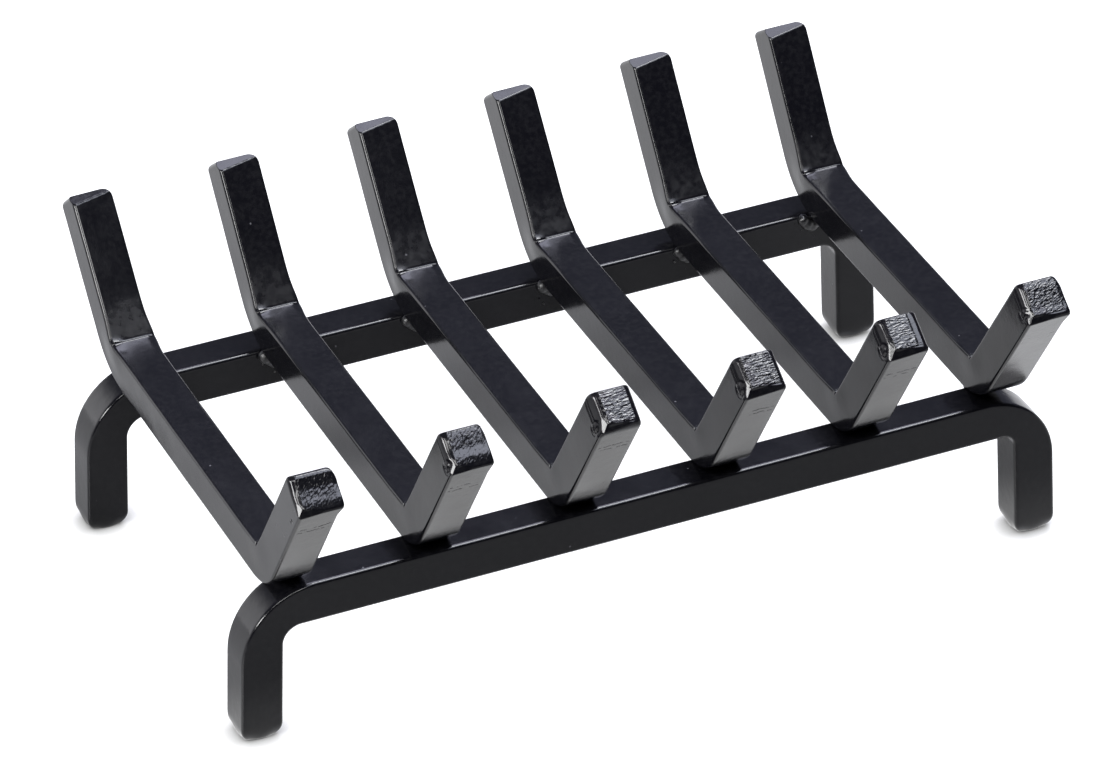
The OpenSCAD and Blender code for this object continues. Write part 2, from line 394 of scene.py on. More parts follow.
def square_rim(count):
    """Points in order round a square from -1 to 1, closer together towards its corners."""
    t = crowded(np.linspace(-1, 1, count + 1)[:-1])
    one = np.ones(count)
    return np.vstack([np.column_stack(p) for p in ((t, one), (one, -t), (-t, -one), (-one, t))])


def rounded(points, radius):
    """Moves points of a square from -1 to 1 onto the bar's section with its edges rounded."""
    spot = points * half_mm
    flat = half_mm - radius
    over = np.maximum(np.abs(spot) - flat, 0)
    reach, length = over.max(axis=1), np.hypot(over[:, 0], over[:, 1])
    scale = np.where(length > 0, reach / np.maximum(length, 1e-9), 1)
    return np.sign(spot) * (np.minimum(np.abs(spot), flat) + over * scale[:, None])


def rail_sweep():
    """Sweeps the bar's section along a rail's path and rounds its feet."""
    tree = bpy.data.node_groups.new("rail_sweep", "GeometryNodeTree")
    face = tree.interface
    face.new_socket("Path", in_out="INPUT", socket_type="NodeSocketGeometry")
    face.new_socket("Section", in_out="INPUT", socket_type="NodeSocketObject")
    for name, value in (("Side", bar_side), ("Left bend", rail_round["left"]),
                        ("Right bend", rail_round["right"]), ("Foot round", foot_round),
                        ("Foot inset", foot_inset), ("Step", 1.1 * mm), ("Waviness", 0.12 * mm)):
        face.new_socket(name, in_out="INPUT", socket_type="NodeSocketFloat").default_value = value
    face.new_socket("Seed", in_out="INPUT", socket_type="NodeSocketInt").default_value = 1
    face.new_socket("Paint", in_out="INPUT", socket_type="NodeSocketMaterial")
    face.new_socket("Rail", in_out="OUTPUT", socket_type="NodeSocketGeometry")
    given = tree.nodes.new("NodeGroupInput").outputs
    index = tree.nodes.new("GeometryNodeInputIndex").outputs[0]
    early = add(tree, "FunctionNodeCompare", {2: index, 3: 2},
                data_type="INT", operation="LESS_THAN").outputs[0]
    radius = add(tree, "GeometryNodeSwitch", {
        "Switch": early, "False": given["Right bend"], "True": given["Left bend"]},
        input_type="FLOAT").outputs[0]
    line = add(tree, "GeometryNodeMeshToCurve", {"Mesh": given["Path"]}).outputs[0]
    bent = add(tree, "GeometryNodeFilletCurve", {
        "Curve": line, "Radius": radius, "Count": rail_bend_steps}, mode="POLY").outputs[0]
    even = add(tree, "GeometryNodeResampleCurve", {
        "Curve": bent, "Length": given["Step"]}, mode="LENGTH").outputs[0]
    run = tree.nodes.new("GeometryNodeSplineParameter").outputs["Length"]
    whole = tree.nodes.new("GeometryNodeSplineLength").outputs["Length"]
    end = maths(tree, "MINIMUM", run, maths(tree, "SUBTRACT", whole, run))
    rise = maths(tree, "SUBTRACT", 1.0, maths(tree, "MINIMUM", 1.0, maths(
        tree, "DIVIDE", end, given["Foot round"])))
    fall = maths(tree, "SUBTRACT", 1.0, maths(tree, "SQRT", maths(
        tree, "SUBTRACT", 1.0, maths(tree, "MULTIPLY", rise, rise))))
    drawn = maths(tree, "DIVIDE", maths(tree, "MULTIPLY", fall, given["Foot inset"]),
                  maths(tree, "MULTIPLY", given["Side"], 0.5))
    outline = add(tree, "GeometryNodeObjectInfo", {"Object": given["Section"]}).outputs["Geometry"]
    section = add(tree, "GeometryNodeMeshToCurve", {"Mesh": outline}).outputs[0]
    swept = add(tree, "GeometryNodeCurveToMesh", {
        "Curve": even, "Profile Curve": section, "Fill Caps": True,
        "Scale": maths(tree, "SUBTRACT", 1.0, drawn)}).outputs[0]
    spot = tree.nodes.new("GeometryNodeInputPosition").outputs[0]
    way = tree.nodes.new("GeometryNodeInputNormal").outputs[0]
    seeded = maths(tree, "MULTIPLY", given["Seed"], 7.0)
    wave = add(tree, "ShaderNodeTexNoise", {
        "Vector": spot, "W": seeded, "Scale": rail_wave_scale, "Detail": 2},
        noise_dimensions="4D").outputs[0]
    wave = maths(tree, "SUBTRACT", wave, rail_wave_middle)
    push = maths(tree, "MULTIPLY", wave, given["Waviness"])
    offset = add(tree, "ShaderNodeVectorMath", {0: way, "Scale": push}, operation="SCALE")
    waved = add(tree, "GeometryNodeSetPosition", {
        "Geometry": swept, "Offset": offset.outputs[0]}).outputs[0]
    split = add(tree, "ShaderNodeSeparateXYZ", {0: spot}).outputs
    floor_spot = add(tree, "ShaderNodeCombineXYZ", {
        0: split[0], 1: split[1], 2: maths(tree, "MAXIMUM", split[2], 0.0)}).outputs[0]
    stood = add(tree, "GeometryNodeSetPosition", {
        "Geometry": waved, "Position": floor_spot}).outputs[0]
    smooth = add(tree, "GeometryNodeSetShadeSmooth", {"Geometry": stood}).outputs[0]
    real = add(tree, "GeometryNodeRealizeInstances", {"Geometry": smooth}).outputs[0]
    painted = add(tree, "GeometryNodeSetMaterial", {
        "Geometry": real, "Material": given["Paint"]}).outputs[0]
    add(tree, "NodeGroupOutput", {"Rail": painted})
    return tree


def made(name, base, tree, inputs):
    """Runs a tree once on a base mesh and keeps the result as a plain mesh object."""
    source = bpy.data.objects.new(name + "_base", base)
    bpy.context.scene.collection.objects.link(source)
    nodes = source.modifiers.new("shape", "NODES")
    nodes.node_group = tree
    sockets = {s.name: s.identifier for s in tree.interface.items_tree if s.in_out == "INPUT"}
    for key, value in inputs.items():
        nodes[sockets[key]] = value
    bpy.context.view_layer.update()
    graph = bpy.context.evaluated_depsgraph_get()
    mesh = bpy.data.meshes.new_from_object(
        source.evaluated_get(graph), preserve_all_data_layers=True, depsgraph=graph)
    mesh.name = name
    source.modifiers.remove(nodes)
    bpy.data.objects.remove(source)
    piece = bpy.data.objects.new(name, mesh)
    bpy.context.scene.collection.objects.link(piece)
    return piece


def face_out(mesh):
    """Turns a closed mesh's faces outwards."""
    loose = bmesh.new()
    loose.from_mesh(mesh)
    bmesh.ops.remove_doubles(loose, verts=loose.verts, dist=0.001 * mm)
    bmesh.ops.recalc_face_normals(loose, faces=loose.faces)
    loose.to_mesh(mesh)
    loose.free()


def tighten(mesh, knee, rail_way, leg_way, middle_round, inner_round):
    """Draws a bend in from its inside, where the former pressed a tighter round than the sweep's."""
    knee, rail_way, leg_way = (np.array(v) for v in (knee, rail_way, leg_way))
    spots = np.empty(len(mesh.vertices) * 3, dtype=np.float32)
    mesh.vertices.foreach_get("co", spots)
    spots = spots.reshape(-1, 3)
    sine = math.sin(math.acos(rail_way @ leg_way) / 2)
    inward = (rail_way + leg_way) / np.linalg.norm(rail_way + leg_way)
    middle = knee + inward * middle_round / sine
    corner = knee + inward * half / sine
    upright = np.cross(rail_way, leg_way)
    upright = upright / np.linalg.norm(upright)
    arm = spots - middle
    arm = arm - (arm @ upright)[:, None] * upright
    away = np.maximum(np.linalg.norm(arm, axis=1), 1e-9)
    inside = middle + arm * ((middle_round - half) / away)[:, None]
    outward = np.clip((away - middle_round + half) / bar_side, 0, 1)
    share = (1 - outward) * (1 - inner_round * mm / (middle_round - half))
    share *= (arm @ rail_way < 0) & (arm @ leg_way < 0) & (away < middle_round + 2 * half)
    spots = spots - share[:, None] * (inside - corner)
    mesh.vertices.foreach_set("co", np.ascontiguousarray(spots, dtype=np.float32).ravel())


def round_foot(mesh, foot):
    """Rounds a foot's upright edges over, more and more towards the floor."""
    for vertex in mesh.vertices:
        if vertex.co.z < foot_blunt and (vertex.co.xy - foot).length < bar_side:
            away = vertex.co.xy - foot
            corner = 2 * abs(away.x * away.y) / max(away.length_squared, 1e-12)
            share = (1 - vertex.co.z / foot_blunt) ** 2
            vertex.co.xy = foot + away * (1 - foot_corner * share * corner ** 3)


rail_paint = black_paint("rail_paint", peel=0.06)
sweep = rail_sweep()
rim = rounded(square_rim(rail_ring_side), rail_edge) * mm
outline = bpy.data.meshes.new("bar_section")
outline.from_pydata([(u, v, 0) for u, v in rim.tolist()],
                    [(k, (k + 1) % len(rim)) for k in range(len(rim))], [])
section = bpy.data.objects.new("bar_section", outline)
bpy.context.scene.collection.objects.link(section)
for seed, (name, (middle_y, turn, feet, leans, rounds)) in enumerate(rail_places.items()):
    rail_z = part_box(name)[1].z - half
    turn = math.radians(turn)
    spots = []
    for side, foot, lean in zip((-1, 1), feet, leans):
        foot *= mm
        slope = math.tan(math.radians(lean))
        knee = Vector((foot - side * rail_z * slope, 0, rail_z))
        toe = Vector((foot + side * half * slope * slope, 0, -half * slope))
        spots += [toe, knee] if side < 0 else [knee, toe]
    spots = [(v.x * math.cos(turn), v.x * math.sin(turn) + middle_y, v.z) for v in spots]
    line = bpy.data.meshes.new(name + "_line")
    line.from_pydata(spots, [(0, 1), (1, 2), (2, 3)], [])
    rail = made("painted_" + name, line, sweep, {
        "Section": section, "Seed": seed, "Paint": rail_paint})
    toe, knee, other_knee, other_toe = (Vector(v) for v in spots)
    along = (other_knee - knee).normalized()
    tighten(rail.data, knee, along, (toe - knee).normalized(), rail_round["left"], rounds[0])
    tighten(rail.data, other_knee, -along, (other_toe - other_knee).normalized(),
            rail_round["right"], rounds[1])
    for foot in (toe, other_toe):
        round_foot(rail.data, foot.xy)
    face_out(rail.data)
    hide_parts(name)
    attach(rail, "root")
bpy.data.objects.remove(section)


# Grate bars
# Six lengths of the same square bar, sheared to length and bent up at both ends by hand, so
# that no two are quite alike: a tight crease inside each bend, a broad round outside, and a
# cheek pressed out at each side of it. The shear tore the tips and rolled their edges over.

# Lengths in this section are in millimetres, and leans, turns and slopes in degrees
bar_edge = 1.5
side_mm = bar_side / mm
bar_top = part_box("front_rail")[1].z / mm + side_mm
turn_line = -7.92
front_crease = -91.92
ring_side = 48
level_steps = 38
plain_step = 2.0
box_margin = 0.02
bar_wave = 0.05
bar_wave_length = 16
far_from_tips = 999
# Each bar's x and turn as seen from above, then its front arm, its rear crease and its rear arm
Bar = namedtuple("Bar", "x turn front_lean front_arm front_round crease rear_lean rear_arm rear_round")
bars = (
    Bar(-176.69, 0.74, 54.3, 78.3, 33, 93.8, 50.6, 73.3, 41),
    Bar(-105.17, 0.66, 54.8, 80.7, 33, 90.7, 54.0, 73.8, 41),
    Bar(-33.25, 0.76, 54.7, 82.4, 33, 93.5, 52.7, 74.2, 41),
    Bar(37.67, 0.14, 55.4, 76.8, 33, 91.3, 53.2, 74.6, 41),
    Bar(108.09, 0.18, 55.4, 78.0, 33, 93.5, 55.7, 72.7, 41),
    Bar(177.01, 0.37, 54.3, 81.6, 39, 91.4, 57.1, 72.2, 41),
)

# A bend: reach to each side of its crease, rings along it and how closely they crowd there
bend_reach = 26.0
bend_ring_count = 80
bend_crowding = 1.7
# What bending left inside it: height and reach of the fillet in the crease, of the long rise on
# the level side and of the short one on the arm
crease_fillet = (0.5, 1.7)
level_rise = (1.2, 20.0)
arm_rise = (1.2, 0.8)
# Where they grow from the middle of the cheeks to the inner side, how much of them is lost at the
# right edge and where, and how far from the crease they turn from the level side to the arm
rise_high = (4, 9.5)
rise_loss = 0.75
rise_edge = (6.5, 9.5)
rise_turn = 1.5
# A lump and a dent at the left of each rear crease: height, place and spread across, and along
rear_marks = ((1.0, -8.2, 3.0, 0.3, 2.1), (-0.15, -7.0, 2.0, -7.0, 2.2))
# The cheeks: how far the right and the left one stand out, their reach along the bar, and where
# they grow across it and towards its inner side
front_cheeks = (0.5, 0.3)
rear_cheeks = (1.5, 0.6)
cheek_reach = 9.0
cheek_across = (5, 10)
cheek_high = (-6, 8)

# How far the shear rolled each front tip's edges over: in from the left, right, inner and outer
# side, and down along the arm there
tip_insets = (
    (2.8, 0.8, 2.2, 2.0), (3.4, 1.0, 1.4, 2.0), (4.6, 2.4, 1.3, 1.6),
    (3.4, 2.0, 1.0, 1.8), (4.2, 2.4, 1.2, 1.8), (3.4, 1.4, 1.3, 1.8),
)
tip_depths = (
    (3.0, 2.5, 3.0, 1.4), (4.5, 2.5, 2.0, 1.2), (9.0, 3.0, 2.5, 5.0),
    (8.0, 3.0, 1.6, 1.8), (8.0, 3.0, 1.8, 1.8), (6.0, 3.0, 2.0, 2.0),
)
rear_tip_inset = (1.6, 4.6, 1.8, 2.6)
rear_tip_depth = (2.2, 6.5, 2.0, 3.0)
tip_ring_count = 12
tip_depth_usual = 4
tip_blunt = 1.5
# How far down the arm a front and a rear tip's rings lie close together, and how close
front_tip_rings = (26, 0.45)
rear_tip_rings = (14, 0.6)
# Slope of a front tip's face towards the outer edge: pairs of distance from the inner edge, degrees
tip_slopes = (
    ((0, 0), (2.9, 0), (3.4, 16), (7.5, 15), (9.5, 5), (14, 2), (16, 7), (20, 9)),
    ((0, 1), (3, 0), (5, 6), (8, 4), (10.4, 0), (13.4, 0), (15, 9), (20, 9)),
    ((0, 0.3), (20, 2.4)),
    ((0, 0), (20, 1.2)),
    ((0, 0), (20, 1)),
    ((0, 0), (3.4, 0), (4, 5), (11, 5), (13, 0), (20, 0)),
)
# How far the shear pressed each front tip's right side out, and where that grows towards the tip
# and to the right, and dies away to the inner side
tip_bulges = (2.0, 1.0, 0.0, 0.0, 0.0, 1.4)
bulge_far = (13, 1)
bulge_across = (0, 9)
bulge_high = (3, 11)
# Edges that the shear cut off flat: the way that each cut faces, and its depth on each tip.
# A rim cut runs along a front tip's outer edge, a corner cut takes that edge's left corner.
cut_reach = 12
rear_cut_way = (-0.12, 0.68, 0.72)
rear_cut = 2.7
rim_cut_way = (-0.11, -0.61, 0.78)
rim_cuts = (1.0, 0.8, 1.2, 1.7, 1.6, 1.2)
corner_cut_way = (-0.60, -0.187, 0.778)
corner_cuts = (0.45, 0.50, 0.60, 0.65, 0.75, 0.60)
# Bruises on the left sides: distance from the tip, height, their two sizes and depth. In each a
# groove goes round a low rise, at these shares of its size and so wide, and both grow to the left.
bruise_groove = (1.0, 0.22)
bruise_rise = (0.45, 0.25)
bruise_across = (6, 9)
bruises = (
    (16.0, -5.4, 1.2, 1.0, 0.25), (5.5, -4.6, 3.2, 3.0, 0.55), (8.0, -4.0, 3.6, 2.6, 0.80),
    (6.0, -3.0, 3.6, 3.4, 0.80), (6.2, -3.0, 3.2, 3.2, 0.75), (5.0, -3.6, 3.6, 2.6, 0.50),
)
# The tears on each front tip: strength, direction in degrees and stretch
tear_marks = (
    (0.55, 50, 0.45), (0.55, 50, 0.5), (0.55, 4, 0.4),
    (0.85, 0, 0.34), (0.45, 0, 0.4), (0.6, 20, 0.7),
)
# Where the shear slid instead of tearing: distances from the inner edge with the share of tears,
# and the x up to which the tears run at full strength, with the share that is left beyond it.
# They are narrower across than along, and end at these distances down the arm.
tear_zones = (
    ((0, 0.35), (3.0, 0.35), (3.8, 0.2), (7.4, 0.25), (9.5, 1)),
    ((0, 0.6), (8, 1), (10.4, 0.4), (13.4, 0.4), (15, 0.5)),
    ((0, 1), (20, 1)), ((0, 1), (20, 1)), ((0, 0.8), (20, 1)),
    ((0, 0.4), (2.6, 0.5), (4.4, 1), (12, 1), (14, 0.5), (20, 0.5)),
)
tear_rights = (20, 20, 20, 20, 4.6, 20)
tear_least = 0.3
tear_narrow = 1.15
tear_far = (3.0, 0.6)
# The scratches across each front arm's outer face: their place and where they fade in and out,
# all from the tip, how near the edges they reach, and where that face starts
scratch_place = 19.0
scratch_in = (12, 15)
scratch_out = (30, 26)
scratch_across = (8.5, 6.5)
face_start = (9, 9.8)
# Dry spray up each rear arm's inner face: where it fades in and out, from the crease, and across
haze_in = (1.4, 2.6)
haze_out = (30, 4)
haze_high = (8, 9.8)


def lumps(points, size, seed):
    """Smooth bumps between -1 and 1, about size apart, the same on every run."""
    spread = points / size
    cell = np.floor(spread).astype(np.int64)
    part = spread - cell
    part = part * part * (3 - 2 * part)
    total = np.zeros(len(points))
    for corner in np.ndindex(2, 2, 2):
        key = ((cell + corner) * (73856093, 19349663, 83492791)).sum(axis=1) + seed * 2654435
        key = (key ^ (key >> 13)) * 1274126177 & 0x7fffffff
        key = (key ^ (key >> 15)) * 668265263 & 0x7fffffff
        value = ((key >> 7) & 0xffff) / 32767.5 - 1
        share = np.prod(np.where(corner, part, 1 - part), axis=1)
        total += value * share
    return total


def fade(value, start, end):
    """Smooth step from 0 at start to 1 at end."""
    share = np.clip((value - start) / (end - start), 0, 1)
    return share * share * (3 - 2 * share)


def side_mix(spot, amounts):
    """Each point's own amount: that of the side it lies by, mixed round the corners."""
    near = np.column_stack([-spot[:, 0], spot[:, 0], spot[:, 1], -spot[:, 1]]) / half_mm
    near = np.maximum(near, 0) ** 8 + 1e-12
    return near @ np.array(amounts, dtype=float) / near.sum(axis=1)


def drawn_in(spot, amounts):
    """Draws a section in by the given amounts at its left, right, inner and outer side."""
    left, right, inner, outer = amounts
    across = np.where(spot[:, 0] < 0, 1 - left / half_mm, 1 - right / half_mm)
    high = np.where(spot[:, 1] < 0, 1 - outer / half_mm, 1 - inner / half_mm)
    return spot * np.column_stack([across, high])


def tip_drop(spot, slopes):
    """How far a tip's face lies below its inner edge at each point of the section."""
    if not slopes:
        return np.zeros(len(spot))
    away, tilt = np.array(slopes, dtype=float).T
    line = np.linspace(0, side_mm, 201)
    grade = np.tan(np.radians(np.interp(line, away, tilt)))
    depth = np.concatenate([[0], np.cumsum((grade[1:] + grade[:-1]) / 2 * np.diff(line))])
    return np.interp(half_mm - spot[:, 1], line, depth)


def plane_cut(local, way, depth, corner):
    """Cuts off flat what stands past a plane near a tip's corner."""
    way = np.array(way) / np.linalg.norm(way)
    up = local * (1, 1, -1)
    near = (local[:, 2] < cut_reach) & (local[:, 0] * corner[0] >= 0) & (local[:, 1] * corner[1] >= 0)
    height = up @ way
    past = np.where(near, np.maximum(height - (height[near].max() - depth), 0), 0)
    return local - past[:, None] * way * (1, 1, -1)


def sheared(i, local):
    """What the shear did to a front tip: the side pressed out, two flat cuts and the bruise."""
    across, high, far = local.T
    out = fade(far, *bulge_far) * fade(across, *bulge_across) * (1 - fade(high, *bulge_high))
    local[:, 0] += tip_bulges[i] * out * np.where(across > 0, 1, 0)
    local = plane_cut(local, rim_cut_way, rim_cuts[i], (0, -1))
    local = plane_cut(local, corner_cut_way, corner_cuts[i], (-1, -1))
    across, high, far = local.T
    middle_far, middle_high, long, tall, depth = bruises[i]
    ring = np.hypot((far - middle_far) / long, (high - middle_high) / tall)
    groove, rise = (np.exp(-((ring - place) / width) ** 2)
                    for place, width in (bruise_groove, bruise_rise))
    groove = groove * (1 - fade(high, middle_high, middle_high + tall))
    on_left = fade(-across, *bruise_across)
    local[:, 0] += (groove - 0.5 * rise) * depth * on_left
    return local


def tip_points(i, front, arm):
    """Rings from a tip down its arm and the tip's own face: across, high, distance from the tip."""
    insets = np.array(tip_insets[i] if front else rear_tip_inset)
    depths = np.array(tip_depths[i] if front else rear_tip_depth)
    slopes = tip_slopes[i] if front else ()
    fine_run, fine_step = front_tip_rings if front else rear_tip_rings
    rim = square_rim(ring_side)
    rings = []
    for turn in np.linspace(0, np.pi / 2, tip_ring_count):
        rolled = 1 - math.sin(turn)
        spot = rounded(rim, bar_edge + tip_blunt * rolled)
        deep = side_mix(spot, depths) * (1 - math.cos(turn))
        rings.append(np.column_stack([drawn_in(spot, insets * rolled), deep]))
    full = rounded(rim, bar_edge)
    start = side_mix(full, depths)
    count = int((fine_run - tip_depth_usual) / fine_step)
    for j in range(1, count + 1):
        rings.append(np.column_stack([full, start + (fine_run - start) * j / count]))
    for run in np.arange(fine_run + plain_step, arm - bend_reach, plain_step):
        rings.append(np.column_stack([full, np.full(len(full), run)]))
    line = crowded(np.linspace(-1, 1, ring_side + 1))
    grid = np.array([(u, v) for v in line for u in line])
    size = np.maximum(np.abs(grid).max(axis=1), 1e-9)
    spot = drawn_in(rounded(grid / size[:, None], bar_edge + tip_blunt) * size[:, None], insets)
    face = np.column_stack([spot, np.zeros(len(spot))])
    shape = (len(rings), len(rim), 3)
    local = np.concatenate(rings + [face])
    local[:, 2] += tip_drop(local[:, :2], slopes) * np.clip(1 - local[:, 2] / fine_run, 0, 1)
    if front:
        local = sheared(i, local)
    else:
        local = plane_cut(local, rear_cut_way, rear_cut, (0, 1))
    return local[:-len(face)].reshape(shape), local[-len(face):]


def bend_rings(lean, outside):
    """Rings of a bend: inner distance from the crease and the outer point's kind and place."""
    start = (outside - side_mm) * math.tan(lean / 2)
    total = 2 * (bend_reach - start) + outside * lean
    rings = []
    for u in np.linspace(1, -1, bend_ring_count):
        reach = bend_reach * np.sign(u) * abs(u) ** bend_crowding
        run = total * (1 - u) / 2
        if run < bend_reach - start:
            outer = ("arm", bend_reach - run)
        elif run > total - (bend_reach - start):
            outer = ("level", run - total + bend_reach)
        else:
            outer = ("arc", lean - (run - bend_reach + start) / outside)
        rings.append((reach, outer))
    return rings, start


def pressed(spot, yz, reach, level_way, arm_way, front):
    """What the bending did inside the bend: the fillet, the rises, the rear marks, the cheeks."""
    across, high = spot.T
    near = abs(reach)
    height, length = crease_fillet
    lift = height * max(0, 1 - near / length) ** 2
    height, length = level_rise if reach <= 0 else arm_rise
    lift += height * max(0, 1 - near / length) ** 2
    lift = lift * (1 - rise_loss * fade(across, *rise_edge))
    if not front:
        for height, x, wide, along, long in rear_marks:
            lift = lift + height * np.exp(-((across - x) / wide) ** 2 - ((reach - along) / long) ** 2)
    share = 0.5 + 0.5 * np.clip(reach / rise_turn, -1, 1)
    way = share * arm_way + (1 - share) * level_way
    way = way / np.linalg.norm(way)
    yz = yz + (lift * fade(high, *rise_high))[:, None] * way
    press = math.exp(-(near / cheek_reach) ** 2) * fade(high, *cheek_high)
    right, left = front_cheeks if front else rear_cheeks
    cheek = press * np.where(across > 0, right * fade(across, *cheek_across),
                             -left * fade(-across, *cheek_across))
    return np.column_stack([across + cheek, yz])


def bent_end(i, front):
    """One bent end of bar i from its tip to its level run: points, local places and the tip."""
    bar = bars[i]
    if front:
        way, crease_y, lean, arm, outside = -1, front_crease, bar.front_lean, bar.front_arm, bar.front_round
    else:
        way, crease_y, lean, arm, outside = 1, bar.crease, bar.rear_lean, bar.rear_arm, bar.rear_round
    crease = np.array([crease_y, bar_top])
    lean = math.radians(lean)
    along = np.array([way * math.cos(lean), math.sin(lean)])
    out = np.array([way * math.sin(lean), -math.cos(lean)])

    def placed(local):
        """Puts places on the straight arm where the lean and the crease have them."""
        yz = crease + along * (arm - local[..., 2:]) + out * (half_mm - local[..., 1:2])
        return np.concatenate([local[..., :1], yz], axis=-1)

    arm_local, cap_local = tip_points(i, front, arm)
    points, places = [placed(arm_local)], [arm_local]
    spot = rounded(square_rim(ring_side), bar_edge)
    rings, start = bend_rings(lean, outside)
    middle = crease + np.array([-way * start, outside - side_mm])
    for reach, (kind, value) in rings:
        inner = crease + (along if reach > 0 else np.array([way, 0.0])) * reach
        if kind == "arm":
            outer = crease + along * value + out * side_mm
        elif kind == "level":
            outer = crease + np.array([-way * value, -side_mm])
        else:
            outer = middle + outside * np.array([way * math.sin(value), -math.cos(value)])
        share = (half_mm - spot[:, 1]) / side_mm
        yz = inner + share[:, None] * (outer - inner)
        points.append(pressed(spot, yz, reach, np.array([0.0, 1.0]), -out, front)[None])
        places.append(np.column_stack([spot, np.full(len(spot), arm - reach)])[None])
    return np.concatenate(points), np.concatenate(places), placed(cap_local), cap_local


def bar_faces(rows, count):
    """Faces between the rings and over the two tips, and which paint each of them has."""
    r, k = np.indices((rows - 1, count)).reshape(2, -1)
    n = (k + 1) % count
    here, there = r * count, (r + 1) * count
    faces = [np.column_stack([here + k, here + n, there + n, there + k])]
    wide = ring_side + 1
    c, d = np.indices((ring_side, ring_side)).reshape(2, -1)
    here, there = c * wide + d, (c + 1) * wide + d
    for first in (rows * count, rows * count + wide * wide):
        faces.append(first + np.column_stack([here, here + 1, there + 1, there]))
    paints = np.repeat([0, 1, 0], [len(part) for part in faces])
    return np.concatenate(faces), paints


def bar_marks(i, local, at_front):
    """Point values that the paint reads: tears and their place, dry spray and scratches."""
    across, high, far = local.T
    strength, angle, stretch = tear_marks[i]
    angle = math.radians(angle)
    u = across * math.cos(angle) + high * math.sin(angle)
    v = -across * math.sin(angle) + high * math.cos(angle)
    tear = np.column_stack([u * stretch, v * tear_narrow, np.full(len(u), 7.0 * i)])
    torn = np.interp(half_mm - high, *np.array(tear_zones[i], dtype=float).T)
    to_right = fade(across, tear_rights[i] + 1.2, tear_rights[i])
    torn = torn * (tear_least + (1 - tear_least) * to_right)
    left, right, _, outer = tip_insets[i]
    brink = rim_cuts[i] + outer - half_mm
    torn = torn * fade(high, brink - 0.8, brink + 0.2)
    left_brink, right_brink = left - half_mm, half_mm - right
    torn = torn * fade(across, left_brink - 0.5, left_brink + 0.5)
    torn = torn * fade(across, right_brink + tip_bulges[i] + 0.5, right_brink - 0.5)
    torn = strength * torn * at_front * fade(far, *tear_far)
    outer_face = fade(-high, *face_start) * fade(np.abs(across), *scratch_across) * at_front
    shown = outer_face * fade(far, *scratch_in) * fade(far, *scratch_out)
    scratch = np.column_stack([across + 40 * i, far - scratch_place, shown])
    reach = np.where(at_front, bars[i].front_arm, bars[i].rear_arm) - far
    sprayed = fade(reach, *haze_out) * fade(reach, *haze_in)
    haze = np.where(at_front, 0.0, sprayed) * fade(high, *haze_high)
    return (("cut", "FLOAT", torn), ("cut_place", "FLOAT_VECTOR", tear),
            ("haze", "FLOAT", haze), ("scratch", "FLOAT_VECTOR", scratch))


def bar_mesh(i):
    """Bar i as one closed mesh: its two bent ends, the level run between them and both tips."""
    front, rear = bent_end(i, True), bent_end(i, False)
    a, b = front[0][-1], rear[0][-1]
    level = np.array([a + (b - a) * k / level_steps for k in range(1, level_steps)])
    unmarked = np.broadcast_to(front[1][-1] * (1, 1, 0) + (0, 0, far_from_tips), level.shape)
    grid = np.concatenate([front[0], level, rear[0][::-1]])
    places = np.concatenate([front[1], unmarked, rear[1][::-1]])
    rows, count = grid.shape[:2]
    points = np.concatenate([grid.reshape(-1, 3), front[2], rear[2]])
    local = np.concatenate([places.reshape(-1, 3), front[3], rear[3]])
    at_front = np.concatenate([np.repeat(np.arange(rows) < rows // 2, count),
                               np.ones(len(front[2]), bool), np.zeros(len(rear[2]), bool)])
    faces, paints = bar_faces(rows, count)
    wave = bar_wave * np.column_stack([lumps(points, bar_wave_length, 10 * i + j) for j in range(3)])
    points += wave * fade(points[:, 2], bar_top - side_mm, bar_top - side_mm + 1)[:, None]
    turn = math.radians(-bars[i].turn)
    cosine, sine = math.cos(turn), math.sin(turn)
    x, y, z = points.T
    y = y - turn_line
    points = np.column_stack([x * cosine - y * sine + bars[i].x, x * sine + y * cosine + turn_line, z])
    # No tip stands further out than the drawn part's own box
    low, high = np.array(cad_box) / mm
    points = np.clip(points, low + box_margin, high - box_margin)
    mesh = bpy.data.meshes.new(f"painted_bar_{i + 1}")
    mesh.from_pydata((points * mm).tolist(), [], faces.tolist())
    mesh.polygons.foreach_set("material_index", paints.astype(np.int32))
    for name, kind, values in bar_marks(i, local, at_front):
        layer = mesh.attributes.new(name, kind, "POINT")
        layer.data.foreach_set("value" if kind == "FLOAT" else "vector",
                               np.ascontiguousarray(values, dtype=np.float32).ravel())
    return mesh


bar_paint = black_paint("bar_paint", peel=0.035, marked=True, torn=True)
tip_paint = black_paint("tip_paint", gloss_ior=1.34, torn=True)
for i in range(len(bars)):
    mesh = bar_mesh(i)
    face_out(mesh)
    mesh.shade_smooth()
    bar = bpy.data.objects.new(f"painted_bar_{i + 1}", mesh)
    bpy.context.scene.collection.objects.link(bar)
    mesh.materials.append(bar_paint)
    mesh.materials.append(tip_paint)
    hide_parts(f"grate_bar_{i + 1}")
    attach(bar, "root")


# Welds
# One bead joins each bar's underside to each rail: laid by hand in the corner between them,
# with the ripples of the welder's pauses and a little spatter beside it, under the same paint.
seat_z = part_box("front_rail")[1].z
bead_leg = 3.7 * mm
bead_step = 2.9 * mm
bead_grain = 0.55 * mm
bead_in = 0.8 * mm
bead_wave_scale = 380
bead_wave_middle = 0.6
# Where drops of spatter land about a bead's line, in metres, and their size as a share of its leg
spatter_low = (-0.004, -0.007, -0.006)
spatter_high = (0.004, 0.0, 0.0)
spatter_size = (0.14, 0.3)
# The line that a bead follows, as millimetres to the right of its middle and down from its bar
bead_lines = {
    "front": ((-3.5, 0.8), (0, 0.8), (3.5, 0.8)),
    "rear": ((-8.4, 2.6), (-4.6, 6.6), (7.0, 0.8)),
}


